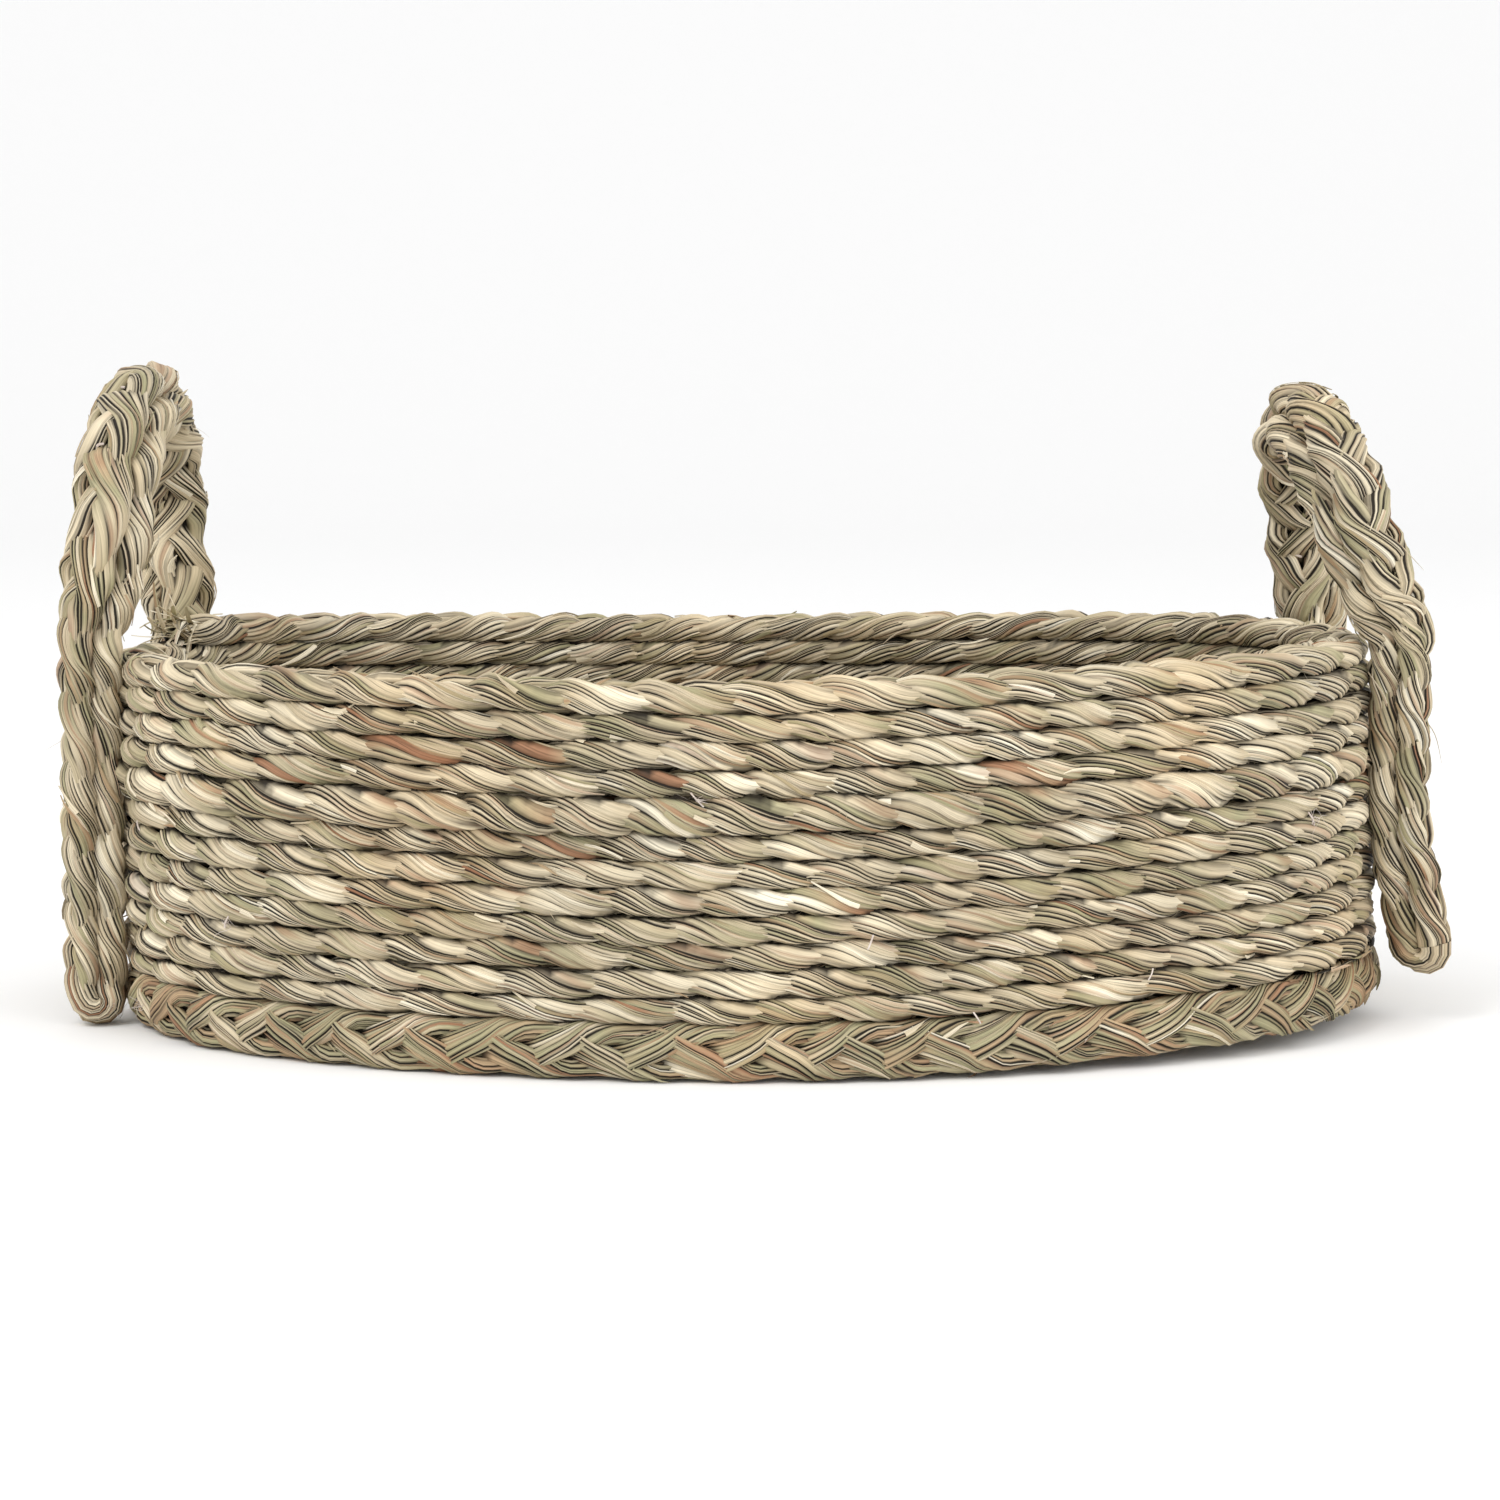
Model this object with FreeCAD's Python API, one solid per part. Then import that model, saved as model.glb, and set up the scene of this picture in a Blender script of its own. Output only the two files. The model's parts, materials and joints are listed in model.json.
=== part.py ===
import FreeCAD, Part
import math
import os

# Oval storage basket wound from a flat three-strand grass plait, with a plaited foot and two
# doubled plait handles.
# Millimetres and degrees. X runs along the basket, Y across it, Z up. The origin is on the
# surface that the basket stands on, under the middle of its outline.

# Plan of the wall: an oval of four tangent arcs.
BODY_LENGTH = 400.0
BODY_WIDTH = 258.0
END_RADIUS = 104.0

# Body plait, and the clearance that keeps one turn apart from the next.
PLAIT_WIDTH = 17.0
PLAIT_THICKNESS = 8.0
PLAIT_CHAMFER = 2.0
TURN_CLEARANCE = 0.1
COURSE_COUNT = 12  # turns of the wall, laid flat on one another
RIM_TUCK = 2.5  # how far the top course is drawn in
BASE_TURN_COUNT = 7  # turns of the base, laid edge to edge inside the foot

# Handles: a flat plait laid double, flat on the wall up to the rim and free above it.
STRAP_WIDTH = 18.0
STRAP_THICKNESS = 8.0
LAYER_CLEARANCE = 0.2
WALL_CLEARANCE = 0.4
LEG_HALF_ANGLE = 25.0  # from the middle of a handle to a leg, around the end arc's centre
HANDLE_YAW = 8.0  # both handles sit a little towards +Y
FLEX_HEIGHT = 120.0  # height of the line that a free arch bends about
FLEX_CLEARANCE = 0.3
LEG_SHOULDER = 5.0  # how far below the flex line a leg's shoulders stop
CROWN_TWIST = 33.0  # outward turn of the plait's face at the top of the arch
TWIST_PATH = 45.0  # length above the flex line in which a leg turns its face that far
HANDLES = {
    "left": {"lean": 6.0, "crown": 194.0, "bottom": 1.0},
    "right": {"lean": 17.0, "crown": 190.0, "bottom": 17.0},
}

# Sewing thread.
THREAD_DIAMETER = 1.2
WALL_STITCHES_PER_ARC = 7
FOOT_STITCHES_PER_ARC = 5
BASE_STITCH_SPACING = 36.0
BASE_STITCH_PAIRS = 4
LEG_STITCH_HEIGHTS = (32.0, 62.0, 92.0)
LEG_STITCH_SPREAD = 6.0
ARCH_STITCH_ANGLES = (20.0, 60.0, 100.0, 140.0, 160.0)
STITCH_PROUD = 0.5

HALF_LENGTH = BODY_LENGTH / 2
HALF_WIDTH = BODY_WIDTH / 2
COURSE_PITCH = PLAIT_THICKNESS + TURN_CLEARANCE
FOOT_HEIGHT = PLAIT_WIDTH
RIM_HEIGHT = FOOT_HEIGHT + COURSE_COUNT * COURSE_PITCH
BASE_TOP = FOOT_HEIGHT
BASE_MIDDLE = BASE_TOP - PLAIT_THICKNESS / 2
BASE_INSET = PLAIT_THICKNESS + TURN_CLEARANCE
BASE_PITCH = (HALF_WIDTH - BASE_INSET) / BASE_TURN_COUNT
END_CENTRE = HALF_LENGTH - END_RADIUS
LEG_THICKNESS = 2 * STRAP_THICKNESS + LAYER_CLEARANCE
LAYER_OFFSET = (STRAP_THICKNESS + LAYER_CLEARANCE) / 2
LEG_RADIUS = END_RADIUS + WALL_CLEARANCE + LEG_THICKNESS / 2
LEG_X = LEG_RADIUS * math.cos(math.radians(LEG_HALF_ANGLE))
LEG_Y = LEG_RADIUS * math.sin(math.radians(LEG_HALF_ANGLE))
LEG_TWIST = 90.0 - LEG_HALF_ANGLE
FLEX_RADIUS = (
    STRAP_WIDTH / 2 * math.sin(math.radians(LEG_HALF_ANGLE))
    + LEG_THICKNESS / 2 * math.cos(math.radians(LEG_HALF_ANGLE))
)

ORIGIN = FreeCAD.Vector(0, 0, 0)
X_AXIS = FreeCAD.Vector(1, 0, 0)
Y_AXIS = FreeCAD.Vector(0, 1, 0)
Z_AXIS = FreeCAD.Vector(0, 0, 1)


def four_arc_oval(half_length, half_width, end_radius):
    """Centre, start angle, sweep and radius of the four tangent arcs of an oval."""
    reach = half_length - end_radius
    side_radius = (reach**2 + half_width**2 - end_radius**2) / (2 * (half_width - end_radius))
    drop = side_radius - half_width
    join = math.degrees(math.atan2(drop, reach))
    side_sweep = 180 - 2 * join
    return [
        (FreeCAD.Vector(reach, 0, 0), -join, 2 * join, end_radius),
        (FreeCAD.Vector(0, -drop, 0), join, side_sweep, side_radius),
        (FreeCAD.Vector(-reach, 0, 0), 180 - join, 2 * join, end_radius),
        (FreeCAD.Vector(0, drop, 0), 180 + join, side_sweep, side_radius),
    ]


def oval_ring(oval, section):
    """Solid ring: section(radius) gives the face to turn around each arc's centre."""
    pieces = []
    for centre, start, sweep, radius in oval:
        piece = section(radius).revolve(ORIGIN, Z_AXIS, sweep)
        piece.rotate(ORIGIN, Z_AXIS, start)
        piece.translate(centre)
        pieces.append(piece)
    return pieces[0].fuse(pieces[1:]).removeSplitter().Solids[0]


def band_section(inset, width, low, height):
    """Section of a plait, chamfered at its corners; its outer side is inset from the oval."""

    def section(radius):
        outer = radius - inset
        inner = outer - width
        high = low + height
        outline = [
            (inner + PLAIT_CHAMFER, low),
            (outer - PLAIT_CHAMFER, low),
            (outer, low + PLAIT_CHAMFER),
            (outer, high - PLAIT_CHAMFER),
            (outer - PLAIT_CHAMFER, high),
            (inner + PLAIT_CHAMFER, high),
            (inner, high - PLAIT_CHAMFER),
            (inner, low + PLAIT_CHAMFER),
        ]
        points = [FreeCAD.Vector(x, 0, z) for x, z in outline + outline[:1]]
        return Part.Face(Part.makePolygon(points))

    return section


def foot_plait():
    """The plait stands on edge and its flat underside carries the basket."""
    wall = four_arc_oval(HALF_LENGTH, HALF_WIDTH, END_RADIUS)
    return oval_ring(wall, band_section(0.0, PLAIT_THICKNESS, 0.0, FOOT_HEIGHT))


def course_inset(index):
    """The wall is upright to half height, then the courses are drawn in towards the rim."""
    upper_share = max(0.0, 2 * (index + 0.5) / COURSE_COUNT - 1)
    return RIM_TUCK * upper_share**2


def wall_course(index):
    """One level turn of the wall, counted from 0 at the foot; the plait lies on its broad face."""
    wall = four_arc_oval(HALF_LENGTH, HALF_WIDTH, END_RADIUS)
    low = FOOT_HEIGHT + TURN_CLEARANCE + index * COURSE_PITCH
    return oval_ring(wall, band_section(course_inset(index), PLAIT_WIDTH, low, PLAIT_THICKNESS))


def base_outline(index, clearance):
    """Flat face inside the outer edge of a base turn; index 0 lies inside the foot."""
    outer_width = HALF_WIDTH - BASE_INSET
    half_width = outer_width - index * BASE_PITCH
    half_length = HALF_LENGTH - BASE_INSET - index * BASE_PITCH
    end_radius = (END_RADIUS - BASE_INSET) * half_width / outer_width
    arcs = []
    oval = four_arc_oval(half_length + clearance, half_width + clearance, end_radius + clearance)
    for centre, start, sweep, radius in oval:
        middle = centre + FreeCAD.Vector(0, 0, BASE_TOP - PLAIT_THICKNESS)
        arcs.append(Part.makeCircle(radius, middle, Z_AXIS, start, start + sweep))
    return Part.Face(Part.Wire(Part.__sortEdges__(arcs)))


def base_turn(index):
    """One turn of the base coil, as wide as the gap between its two neighbours."""
    turn = base_outline(index, 0.0).extrude(Z_AXIS * PLAIT_THICKNESS)
    hole = base_outline(index + 1, TURN_CLEARANCE).extrude(Z_AXIS * PLAIT_THICKNESS)
    return turn.cut(hole).Solids[0]


def base_start():
    """The start of the coil, where the plait is doubled back beside itself."""
    return base_outline(BASE_TURN_COUNT - 1, 0.0).extrude(Z_AXIS * PLAIT_THICKNESS)


def thread(start, direction, length):
    return Part.makeCylinder(THREAD_DIAMETER / 2, length, start, direction)


def around_wall(count, inset, height):
    """Points spread around the wall at a depth from its outer side, with the outward direction."""
    for centre, start, sweep, radius in four_arc_oval(HALF_LENGTH, HALF_WIDTH, END_RADIUS):
        for number in range(count):
            angle = math.radians(start + sweep * (number + 0.5) / count)
            outward = FreeCAD.Vector(math.cos(angle), math.sin(angle), 0)
            yield centre + outward * (radius - inset) + Z_AXIS * height, outward


def wall_stitches():
    """Upright threads that run from the base through every course."""
    low = BASE_MIDDLE
    length = RIM_HEIGHT - PLAIT_THICKNESS / 2 - low
    inset = (PLAIT_WIDTH + RIM_TUCK) / 2
    points = around_wall(WALL_STITCHES_PER_ARC, inset, low)
    return Part.makeCompound([thread(point, Z_AXIS, length) for point, _ in points])


def foot_stitches():
    """Short level threads that hold the foot to the outer turn of the base."""
    length = PLAIT_THICKNESS + STITCH_PROUD + THREAD_DIAMETER
    points = around_wall(FOOT_STITCHES_PER_ARC, length - STITCH_PROUD, BASE_MIDDLE)
    return Part.makeCompound([thread(point, outward, length) for point, outward in points])


def base_stitches():
    """Threads across the base, sewn through every turn from one side to the other."""
    threads = []
    depth = BASE_INSET + PLAIT_WIDTH / 2
    ends, back_side = four_arc_oval(HALF_LENGTH - depth, HALF_WIDTH - depth, END_RADIUS - depth)[2:]
    end_centre, _, end_sweep, end_radius = ends
    side_centre, _, _, side_radius = back_side
    join_x = -end_centre.x + end_radius * math.cos(math.radians(end_sweep / 2))
    for number in range(-BASE_STITCH_PAIRS, BASE_STITCH_PAIRS + 1):
        x = number * BASE_STITCH_SPACING
        if abs(x) > join_x:
            half = math.sqrt(end_radius**2 - (abs(x) + end_centre.x) ** 2)
        else:
            half = math.sqrt(side_radius**2 - x**2) - side_centre.y
        threads.append(thread(FreeCAD.Vector(x, -half, BASE_MIDDLE), Y_AXIS, 2 * half))
    return Part.makeCompound(threads)


# Each handle is made on the +X end of the basket, in the frame of that end's arc: X outward
# through the middle of the handle, Y towards its back leg, with the arc's centre as origin.


def flex_cylinder(radius):
    """Cylinder about the line that a free arch bends about, long enough to cross both legs."""
    reach = LEG_Y + STRAP_WIDTH
    return Part.makeCylinder(radius, 2 * reach, FreeCAD.Vector(LEG_X, -reach, FLEX_HEIGHT), Y_AXIS)


def on_leg(shape, side):
    """Turn a shape that stands at the middle of the end arc round to the front or back leg."""
    shape.rotate(ORIGIN, Z_AXIS, side * LEG_HALF_ANGLE)
    return shape


def leg_box(side, low, high):
    """Upright block with the section of the doubled plait, flat on the wall."""
    corner = FreeCAD.Vector(LEG_RADIUS - LEG_THICKNESS / 2, -STRAP_WIDTH / 2, low)
    return on_leg(Part.makeBox(LEG_THICKNESS, STRAP_WIDTH, high - low, corner), side)


def leg(side, bottom):
    """Doubled plait from the fold at its foot up to the seat under the free arch."""
    fold_height = bottom + LEG_THICKNESS / 2
    start = FreeCAD.Vector(LEG_RADIUS, -STRAP_WIDTH / 2, fold_height)
    fold = on_leg(Part.makeCylinder(LEG_THICKNESS / 2, STRAP_WIDTH, start, Y_AXIS), side)
    upright = leg_box(side, fold_height, FLEX_HEIGHT - LEG_SHOULDER)
    seat = flex_cylinder(FLEX_RADIUS + FLEX_CLEARANCE)
    return upright.fuse(fold).removeSplitter().cut(seat).Solids[0]


def plait_twist(path):
    """Turn of the plait's face, in radians, after a length of path above the flex line."""
    share = min(1.0, path / TWIST_PATH)
    return math.radians(LEG_TWIST + (CROWN_TWIST - LEG_TWIST) * share)


def arch_stations(crown):
    """Points up one leg of the free arch, over its round crown and down the other leg.

    Each station is a point, the arch's outward direction there, and the plait's twist.
    """
    rise = crown - LEG_Y - FLEX_HEIGHT
    stations = []
    for share in (0.0, 0.5):
        stations.append((-1, 0.0, share * rise))
    arc_steps = 18
    for step in range(arc_steps + 1):
        stations.append((0, 180.0 * step / arc_steps, rise))
    for share in (0.5, 0.0):
        stations.append((1, 180.0, share * rise))
    made = []
    for side, turned, climbed in stations:
        angle = math.radians(180.0 - turned)
        outward = FreeCAD.Vector(0, math.cos(angle), math.sin(angle))
        point = FreeCAD.Vector(LEG_X, 0, FLEX_HEIGHT + climbed) + outward * LEG_Y
        arc_path = LEG_Y * math.radians(min(turned, 180.0 - turned))
        twist = plait_twist(climbed + (arc_path if side == 0 else 0.0))
        normal = outward * math.cos(twist) + X_AXIS * math.sin(twist)
        made.append((point, normal, outward))
    return made


def arch_layer(crown, offset):
    """One layer of the free arch; offset is its middle's distance from the arch's centre line."""
    sections = []
    for point, normal, outward in arch_stations(crown):
        tangent = outward.cross(X_AXIS)
        across = tangent.cross(normal) * (STRAP_WIDTH / 2)
        through = normal * (STRAP_THICKNESS / 2)
        middle = point + normal * offset
        corners = [
            middle - across - through,
            middle + across - through,
            middle + across + through,
            middle - across + through,
        ]
        sections.append(Part.makePolygon(corners + corners[:1]))
    layer = Part.makeLoft(sections, True, True)
    for side in (-1, 1):
        low = FLEX_HEIGHT - FLEX_RADIUS
        corner = FreeCAD.Vector(
            LEG_RADIUS + offset - STRAP_THICKNESS / 2, -STRAP_WIDTH / 2, low
        )
        size = (STRAP_THICKNESS, STRAP_WIDTH, FLEX_RADIUS)
        stub = on_leg(Part.makeBox(*size, corner), side).common(flex_cylinder(FLEX_RADIUS))
        layer = layer.fuse(stub)
    return layer.removeSplitter().Solids[0]


def arch_stitches(crown):
    """Short threads that hold the two layers of the arch together."""
    threads = []
    reach = LEG_THICKNESS / 2 + STITCH_PROUD
    spring = crown - LEG_Y
    for turned in ARCH_STITCH_ANGLES:
        angle = math.radians(180.0 - turned)
        outward = FreeCAD.Vector(0, math.cos(angle), math.sin(angle))
        arc_path = LEG_Y * math.radians(min(turned, 180.0 - turned))
        twist = plait_twist(spring - FLEX_HEIGHT + arc_path)
        normal = outward * math.cos(twist) + X_AXIS * math.sin(twist)
        point = FreeCAD.Vector(LEG_X, 0, spring) + outward * LEG_Y
        threads.append(thread(point - normal * reach, normal, 2 * reach))
    return Part.makeCompound(threads)


def leg_stitches():
    """Threads that sew both legs of a handle through to the inside of the wall."""
    threads = []
    outer = LEG_RADIUS + LEG_THICKNESS / 2 + STITCH_PROUD
    inner = END_RADIUS - PLAIT_WIDTH
    for side in (-1, 1):
        for height in LEG_STITCH_HEIGHTS:
            for spread in (-LEG_STITCH_SPREAD, LEG_STITCH_SPREAD):
                start = FreeCAD.Vector(inner, spread, height)
                threads.append(on_leg(thread(start, X_AXIS, outer - inner), side))
    return Part.makeCompound(threads)


def lean(shape, angle):
    """Bend a free arch towards the inside of the basket about its flex line."""
    shape.rotate(FreeCAD.Vector(LEG_X, 0, FLEX_HEIGHT), Y_AXIS, -angle)
    return shape


def on_basket(shape, end):
    """Move a handle piece from its end arc's frame to its end of the basket."""
    shape.rotate(ORIGIN, Z_AXIS, HANDLE_YAW)
    shape.translate(FreeCAD.Vector(END_CENTRE, 0, 0))
    return shape.mirror(ORIGIN, X_AXIS) if end == "left" else shape


def handle(end, sizes):
    crown = sizes["crown"]
    pieces = {
        "front_leg": leg(-1, sizes["bottom"]),
        "back_leg": leg(1, sizes["bottom"]),
        "leg_stitches": leg_stitches(),
        "arch_outer_plait": lean(arch_layer(crown, LAYER_OFFSET), sizes["lean"]),
        "arch_inner_plait": lean(arch_layer(crown, -LAYER_OFFSET), sizes["lean"]),
        "arch_stitches": lean(arch_stitches(crown), sizes["lean"]),
    }
    return {f"{end}_handle_{name}": on_basket(piece, end) for name, piece in pieces.items()}


def basket():
    nodes = {"foot_plait": foot_plait()}
    for index in range(COURSE_COUNT):
        nodes[f"wall_course_{index + 1:02d}"] = wall_course(index)
    nodes["base_start"] = base_start()
    for index in range(BASE_TURN_COUNT - 1):
        nodes[f"base_turn_{index + 1:02d}"] = base_turn(index)
    nodes["wall_stitches"] = wall_stitches()
    nodes["foot_stitches"] = foot_stitches()
    nodes["base_stitches"] = base_stitches()
    for end, sizes in HANDLES.items():
        nodes.update(handle(end, sizes))
    return nodes


os.makedirs("parts", exist_ok=True)
for node_name, solid in basket().items():
    if not solid.isValid() or not solid.Solids:
        raise ValueError(f"{node_name} is not a valid solid")
    solid.exportStep(f"parts/{node_name}.step")
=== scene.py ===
import json
import math
from types import SimpleNamespace

import bpy
import numpy as np
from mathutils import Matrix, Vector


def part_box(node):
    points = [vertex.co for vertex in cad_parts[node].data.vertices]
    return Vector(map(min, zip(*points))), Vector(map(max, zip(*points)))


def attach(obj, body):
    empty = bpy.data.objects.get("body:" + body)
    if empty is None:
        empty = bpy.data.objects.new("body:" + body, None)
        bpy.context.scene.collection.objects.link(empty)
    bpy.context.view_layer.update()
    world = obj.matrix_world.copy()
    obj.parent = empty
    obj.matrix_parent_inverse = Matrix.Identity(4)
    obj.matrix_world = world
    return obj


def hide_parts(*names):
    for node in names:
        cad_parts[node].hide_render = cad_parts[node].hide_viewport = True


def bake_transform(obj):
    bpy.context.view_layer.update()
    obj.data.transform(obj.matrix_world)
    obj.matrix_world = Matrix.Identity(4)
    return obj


# The seagrass basket as it looks: every plait is built strand by strand, and every strand
# blade by blade. Metres, in the frame of the CAD model: X along the basket, Y away from the
# viewer, Z up.

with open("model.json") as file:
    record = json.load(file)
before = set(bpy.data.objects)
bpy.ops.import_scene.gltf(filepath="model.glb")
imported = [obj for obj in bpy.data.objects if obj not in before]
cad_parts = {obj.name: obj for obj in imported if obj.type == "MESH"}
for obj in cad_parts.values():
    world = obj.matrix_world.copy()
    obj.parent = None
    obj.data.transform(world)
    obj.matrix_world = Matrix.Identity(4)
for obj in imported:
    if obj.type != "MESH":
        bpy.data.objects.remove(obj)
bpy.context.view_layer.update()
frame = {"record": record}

# Sizes read from the CAD nodes.
_, foot_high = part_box("foot_plait")
first_low, first_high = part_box("wall_course_01")
second_low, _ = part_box("wall_course_02")
_, rim_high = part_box("wall_course_12")
base_low, base_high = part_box("base_turn_01")
inner_base_low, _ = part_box("base_turn_02")
start_low, start_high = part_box("base_start")
HALF_LENGTH = foot_high.x
HALF_WIDTH = foot_high.y
FOOT_HEIGHT = foot_high.z
PLAIT_WIDTH = FOOT_HEIGHT
PLAIT_THICKNESS = first_high.z - first_low.z
TURN_RISE = second_low.z - first_low.z
RIM_HEIGHT = rim_high.z
RIM_TUCK = HALF_WIDTH - rim_high.y
BASE_PITCH = base_high.y - (-inner_base_low.y)
COURSES = [f"wall_course_{number:02d}" for number in range(1, 13)]
BASE_TURNS = [f"base_turn_{number:02d}" for number in range(1, 7)]

# Plan and handle shape, as in the CAD model where the comment doesn't say otherwise.
END_RADIUS = 0.104
STRAP_WIDTH = 0.018
STRAP_THICKNESS = 0.008
LAYER_OFFSET = 0.0041  # from the middle of the doubled strap to the middle of a layer
LEG_PRESS = 0.0011  # the legs press about this far into the wall; the CAD's stand just clear
LEG_RADIUS = END_RADIUS - LEG_PRESS + 2 * LAYER_OFFSET
LEG_HALF_ANGLE = math.radians(25.0)
LEG_X = LEG_RADIUS * math.cos(LEG_HALF_ANGLE)
LEG_Y = LEG_RADIUS * math.sin(LEG_HALF_ANGLE)
LEG_TWIST = math.pi / 2 - LEG_HALF_ANGLE
CROWN_TWIST = math.radians(33.0)
HANDLE_YAW = math.radians(8.0)
LEAN = {"left": math.radians(3.6), "right": math.radians(15.6)}  # 6 and 17 in the CAD
CROWN_HEIGHT = {"left": 0.1922, "right": 0.1884}  # 1.8 and 1.6 mm higher in the CAD
FLEX_HEIGHT = frame["record"]["behaviour"]["joints"][0]["pos_m"][2]
FLEX_REACH = 0.008  # above and below the flex line, where the plait bends

# How the hand-made basket differs from the plain one.
TURN_COUNT = 11.95  # turns of the wall plait, from the left end of the foot
START_TURN = 0.62  # before them, its tapered start lies on the foot along the back
FIRST_TURN_RISE = 0.0012  # from the foot to the middle of the wall plait, where the turns begin
THICK_TURN = 7.25  # where the wall plait runs thicker
THICK_TURN_SPREAD = 0.33
THICK_TURN_SHARE = 0.3
FOOT_SKEW = 0.0019  # the foot sits to the right,
RIM_SKEW = -0.0016  # and the rim to the left
RIGHT_LIFT = 0.0058  # the right end curls up as a whole,
LEFT_LIFT = 0.0040  # the left end only at its rim
FOOT_TUCK = 0.011  # share by which the foot is shorter than the wall above it
LEG_SPLAY = 0.0115  # the right handle's legs swing out at their feet
LEG_SPLAY_HEIGHT = 0.075
ARCH_TURN = math.radians(6.0)  # the free arch turns back about the upright
TWIST_RISE = 0.045  # height in which the plait turns its face outwards
ARCH_SPREAD = 1.25  # the plait opens up where it is free,
SPREAD_START = 0.110  # from this height,
SPREAD_RISE = 0.030  # and in full this much higher

# Pitch of the plaits: the length in which a strand crosses over and comes back.
BODY_PERIOD = 0.074
STRAP_PERIOD = 0.066

MM = 0.001
GROOVE_WIDTH = 0.38 * MM  # from the bottom of a groove to the blade beside it
FLAT_SHARE = 0.55  # thickness of a strand that lies flat, as a share of the plait's
BLADE_RISE = 0.16 * MM  # how much a blade wanders in and out
BLADE_CROWN = 0.24 * MM  # how far the middle of an average blade stands out
WALL_STEP = 2.6 * MM  # from one ring of a strand to the next, on the wall and the foot
BASE_STEP = 3.0 * MM
HANDLE_STEP = 2.0 * MM
POINTS_PER_TURN = 720  # of a path before it is resampled
CLIMB_POINTS = 160  # along a leg, and along the arch
FOLD_POINTS = 24  # around the fold at a leg's foot
OUT_POINTS = 200  # along the inmost stretch of the base


# ---------------------------------------------------------------- small helpers


def unit(vectors):
    """The vectors at length one."""
    return vectors / np.linalg.norm(vectors, axis=-1, keepdims=True)


def smooth(share):
    """A soft step from 0 to 1."""
    share = np.clip(share, 0.0, 1.0)
    return share * share * (3 - 2 * share)


def drift(rng, distance, wavelength, size):
    """A smooth random wander along a distance."""
    total = np.zeros_like(distance)
    for octave in (0.6, 1.0, 1.7):
        total += np.sin(2 * np.pi * distance / (wavelength * octave) + rng.uniform(0, 2 * np.pi))
    return size * total / 1.7


def resample(path, step):
    """The same path with its points a step apart."""
    gaps = np.linalg.norm(np.diff(path.point, axis=0), axis=1)
    distance = np.concatenate([[0.0], np.cumsum(gaps)])
    count = int(math.ceil(distance[-1] / step)) + 1
    even = np.linspace(0.0, distance[-1], count)

    def along(values):
        if values.ndim == 1:
            return np.interp(even, distance, values)
        return np.stack([np.interp(even, distance, values[:, k]) for k in range(3)], axis=1)

    return SimpleNamespace(
        point=along(path.point),
        across=unit(along(path.across)),
        up=unit(along(path.up)),
        turn=along(path.turn),
        distance=even,
    )


def settle(points):
    """The hand-made basket leans a little along X, and its ends curl up."""
    height = np.clip(points[..., 2] / RIM_HEIGHT, 0.0, 1.0)
    right = np.clip(points[..., 0] / HALF_LENGTH, 0.0, 1.1)
    left = np.clip(-points[..., 0] / HALF_LENGTH, 0.0, 1.1)
    moved = points.copy()
    moved[..., 0] *= 1 - FOOT_TUCK * (1 - height) ** 2
    moved[..., 0] += FOOT_SKEW + (RIM_SKEW - FOOT_SKEW) * height
    moved[..., 2] += RIGHT_LIFT * right**1.3 + LEFT_LIFT * height * left**2
    return moved


# ---------------------------------------------------------------- meshes


def mesh_object(name, vertices, quads, attributes, material):
    """Object from flat arrays; attributes holds one number or vector for each vertex."""
    mesh = bpy.data.meshes.new(name)
    mesh.vertices.add(len(vertices))
    mesh.vertices.foreach_set("co", vertices.astype(np.float32).ravel())
    mesh.loops.add(quads.size)
    mesh.loops.foreach_set("vertex_index", quads.astype(np.int32).ravel())
    mesh.polygons.add(len(quads))
    mesh.polygons.foreach_set("loop_start", np.arange(0, quads.size, 4, dtype=np.int32))
    mesh.update(calc_edges=True)
    mesh.polygons.foreach_set("use_smooth", np.ones(len(quads), dtype=bool))
    for key, values in attributes.items():
        if values.ndim == 1:
            layer = mesh.attributes.new(key, "FLOAT", "POINT")
            layer.data.foreach_set("value", values.astype(np.float32))
        else:
            layer = mesh.attributes.new(key, "FLOAT_VECTOR", "POINT")
            layer.data.foreach_set("vector", values.astype(np.float32).ravel())
    mesh.materials.append(material)
    piece = bpy.data.objects.new(name, mesh)
    bpy.context.scene.collection.objects.link(piece)
    return piece


def tube_quads(rows, ring):
    """Faces of a tube of rows rings, with ring points in each."""
    row = np.arange(rows - 1)[:, None] * ring
    here = np.arange(ring)[None, :]
    after = (here + 1) % ring
    corners = [row + here, row + after, row + ring + after, row + ring + here]
    return np.stack(corners, axis=-1).reshape(-1, 4)


def strip_quads(rows, width):
    """Faces of an open strip of rows rows, with width points in each."""
    row = np.arange(rows - 1)[:, None] * width
    here = np.arange(width - 1)[None, :]
    corners = [row + here, row + here + 1, row + width + here + 1, row + width + here]
    return np.stack(corners, axis=-1).reshape(-1, 4)


def join_grids(name, grids, quads_of, material):
    """One object from grids of points, each with its tone, painted shade and grain."""
    vertices, quads, tones, painted_shades, grains = [], [], [], [], []
    start = 0
    for grid in grids:
        rows, ring = grid.point.shape[:2]
        vertices.append(grid.point.reshape(-1, 3))
        tones.append(grid.tone.reshape(-1))
        painted_shades.append(grid.depth.reshape(-1))
        grains.append(grid.grain.reshape(-1, 3))
        quads.append(quads_of(rows, ring) + start)
        start += rows * ring
    attributes = {
        "tone": np.concatenate(tones),
        "depth": np.concatenate(painted_shades),
        "grain": np.concatenate(grains),
    }
    vertices = np.concatenate(vertices)
    vertices[:, 2] = np.maximum(vertices[:, 2], 0.0)  # nothing goes through the floor
    return mesh_object(name, vertices, np.concatenate(quads), attributes, material)


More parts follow.
